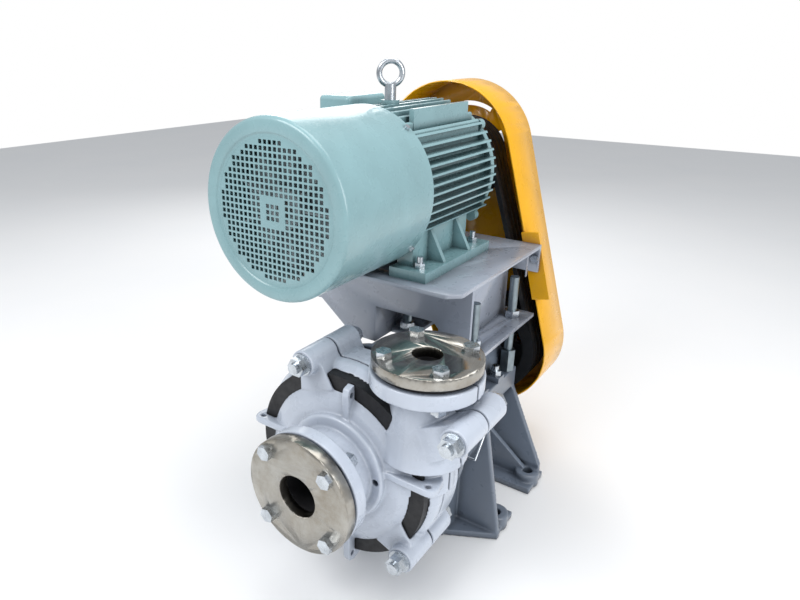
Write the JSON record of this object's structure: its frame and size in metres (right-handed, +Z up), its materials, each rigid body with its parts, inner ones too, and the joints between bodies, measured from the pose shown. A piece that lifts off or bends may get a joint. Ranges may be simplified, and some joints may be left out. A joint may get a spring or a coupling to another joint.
{
  "type": "slurry pump",
  "caption": "Lined end-suction slurry pump on a cast foot base, with an electric motor mounted above it on a height-adjustable stand and a guarded V-belt drive",
  "frame": {"origin": "On the floor, at the centre of the four foot bolts, straight below the pump shaft axis.", "axes": "+Z is up; the suction flange faces -Y and the belt drive is on the +Y side; +X is to the right seen from the suction end, the side of the discharge branch."},
  "size_m": [0.598, 0.8624, 0.9225],
  "materials": {
    "alloy_iron": "satin",
    "base_paint": "gloss",
    "belt_rubber": "matt",
    "brass": "satin",
    "casing_paint": "gloss",
    "core_steel": "satin",
    "fan_plastic": "satin",
    "grey_iron": "satin",
    "guard_paint": "gloss",
    "liner_rubber": "matt",
    "motor_paint": "gloss",
    "packing": "matt",
    "stand_paint": "gloss",
    "steel": "brushed",
    "zinc": "satin"
  },
  "bodies": {
    "standing_part": {"base": "base_paint", "bearing_housing": "base_paint", "bearing_outer_races": "steel", "casing_bolts": "zinc", "clamp_bolts": "zinc", "clamp_washers": "base_paint", "cover_plate": "casing_paint", "discharge_bolts": "zinc", "discharge_disc": "steel", "discharge_gasket": "liner_rubber", "end_cover_screws": "zinc", "frame_liner_insert": "liner_rubber", "frame_plate": "casing_paint", "frame_studs": "zinc", "front_end_cover": "base_paint", "gland": "alloy_iron", "gland_bolts": "zinc", "gland_guards": "base_paint", "gland_packing": "packing", "guard_handles": "zinc", "jack_studs": "zinc", "lantern_ring": "brass", "rear_end_cover": "base_paint", "stud_sockets": "zinc", "stuffing_box": "alloy_iron", "suction_bolts": "zinc", "suction_disc": "steel", "suction_gasket": "liner_rubber", "throatbush": "liner_rubber", "v_belts": "belt_rubber", "volute_liner": "liner_rubber"},
    "pump_rotor": {"bearing_inner_races": "steel", "bearing_rollers": "steel", "impeller": "alloy_iron", "pump_pulley": "grey_iron", "pump_pulley_bush": "grey_iron", "pump_shaft": "steel", "shaft_sleeve": "steel", "shaft_slinger": "grey_iron"},
    "motor_carriage": {"belt_guard": "guard_paint", "cowl_screws": "zinc", "drive_end_shield": "motor_paint", "eyebolt": "zinc", "fan_cowl": "motor_paint", "fan_end_shield": "motor_paint", "guard_bolts": "zinc", "guard_brackets": "guard_paint", "jack_nuts": "zinc", "motor_foot_bolts": "zinc", "motor_frame": "motor_paint", "motor_stand": "stand_paint", "shield_bolts": "zinc", "stator": "core_steel", "terminal_box": "motor_paint"},
    "motor_rotor": {"cooling_fan": "fan_plastic", "motor_bearings": "steel", "motor_pulley": "grey_iron", "motor_pulley_bush": "grey_iron", "motor_rotor": "core_steel"}
  },
  "joints": [
    {"name": "pump_spin", "type": "hinge", "parent": "standing_part", "child": "pump_rotor", "pos_m": [0, 0, 0.254], "axis": [0, 1, 0], "continuous": true},
    {"name": "belt_tension", "type": "slide", "parent": "standing_part", "child": "motor_carriage", "axis": [0, 0, 1], "range_m": [-0.01, 0.015], "deforming": ["v_belts"]},
    {"name": "motor_spin", "type": "hinge", "parent": "motor_carriage", "child": "motor_rotor", "pos_m": [-0.125, 0, 0.691], "axis": [0, 1, 0], "continuous": true}
  ],
  "couplings": [
    {"joint": "motor_spin", "follows": "pump_spin", "ratio": 1.2105}
  ]
}
